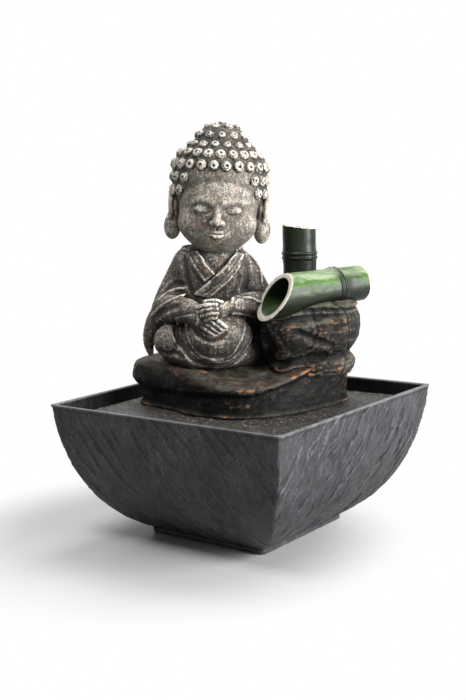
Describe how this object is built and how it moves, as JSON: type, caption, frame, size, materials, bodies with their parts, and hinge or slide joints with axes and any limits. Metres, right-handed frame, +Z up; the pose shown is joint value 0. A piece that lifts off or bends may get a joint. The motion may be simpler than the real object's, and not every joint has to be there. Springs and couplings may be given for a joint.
{
  "type": "fountain",
  "caption": "Table fountain: a curved square basin with a submersible pump and lift-off scenery of a seated figure, rocks and a bamboo spout",
  "frame": {"origin": "middle of the foot on the surface that the fountain stands on", "axes": "+Z up, basin sides along X and Y, spout side towards +X, the figure faces about -Y turned to +X"},
  "size_m": [0.18, 0.18, 0.2682],
  "materials": {
    "slate_resin": "satin charcoal with a split-slate texture",
    "rock_resin": "matte dark brown rock, edges dry-brushed bronze",
    "stone_resin": "matte dark grey washed with pale grey on the raised parts",
    "bamboo_lacquer": "glossy green, dark at the nodes, cream cut faces",
    "clear_hose": "milky flexible hose",
    "pump_plastic": "moulded black",
    "potting_resin": "poured black resin",
    "rubber": "soft black",
    "iron_core": "stacked iron sheets",
    "ferrite": "ground ferrite",
    "copper_winding": "enamelled winding",
    "shaft_steel": "ground"
  },
  "bodies": {
    "fountain_base": {"basin": "slate_resin", "foot_pad_1": "rubber", "foot_pad_2": "rubber", "foot_pad_3": "rubber", "foot_pad_4": "rubber", "pump_housing": "pump_plastic", "stator_core": "iron_core", "stator_coil": "copper_winding", "potting_plug": "potting_resin", "cord_gland": "rubber", "volute_cover": "pump_plastic", "rear_bush": "rubber", "front_bush": "rubber", "impeller_shaft": "shaft_steel", "suction_cup_1": "rubber", "suction_cup_2": "rubber", "suction_cup_3": "rubber", "suction_cup_4": "rubber"},
    "impeller": {"rotor_magnet": "ferrite", "impeller_wheel": "pump_plastic"},
    "pump_cover": {"intake_cover": "pump_plastic"},
    "flow_control": {"flow_dial": "pump_plastic"},
    "scenery": {"base_plate": "rock_resin", "supply_hose": "clear_hose", "rock_slab": "rock_resin", "rock_boulder": "rock_resin", "bamboo_post": "bamboo_lacquer", "bamboo_spout": "bamboo_lacquer", "seated_figure": "stone_resin"}
  },
  "joints": [
    {"name": "scenery_lift", "type": "slide", "parent": "fountain_base", "child": "scenery", "axis": [0, 0, 1], "range_m": [0, 0.12]},
    {"name": "impeller_spin", "type": "hinge", "parent": "fountain_base", "child": "impeller", "pos_m": [0.03054, 0.012, 0.0302], "axis": [0, 1, 0], "continuous": true},
    {"name": "cover_pull", "type": "slide", "parent": "fountain_base", "child": "pump_cover", "axis": [0, 1, 0], "range_m": [0, 0.012]},
    {"name": "flow_adjust", "type": "hinge", "parent": "pump_cover", "child": "flow_control", "pos_m": [0.03054, 0.028, 0.0302], "axis": [0, 1, 0], "range_deg": [0, 45]}
  ]
}
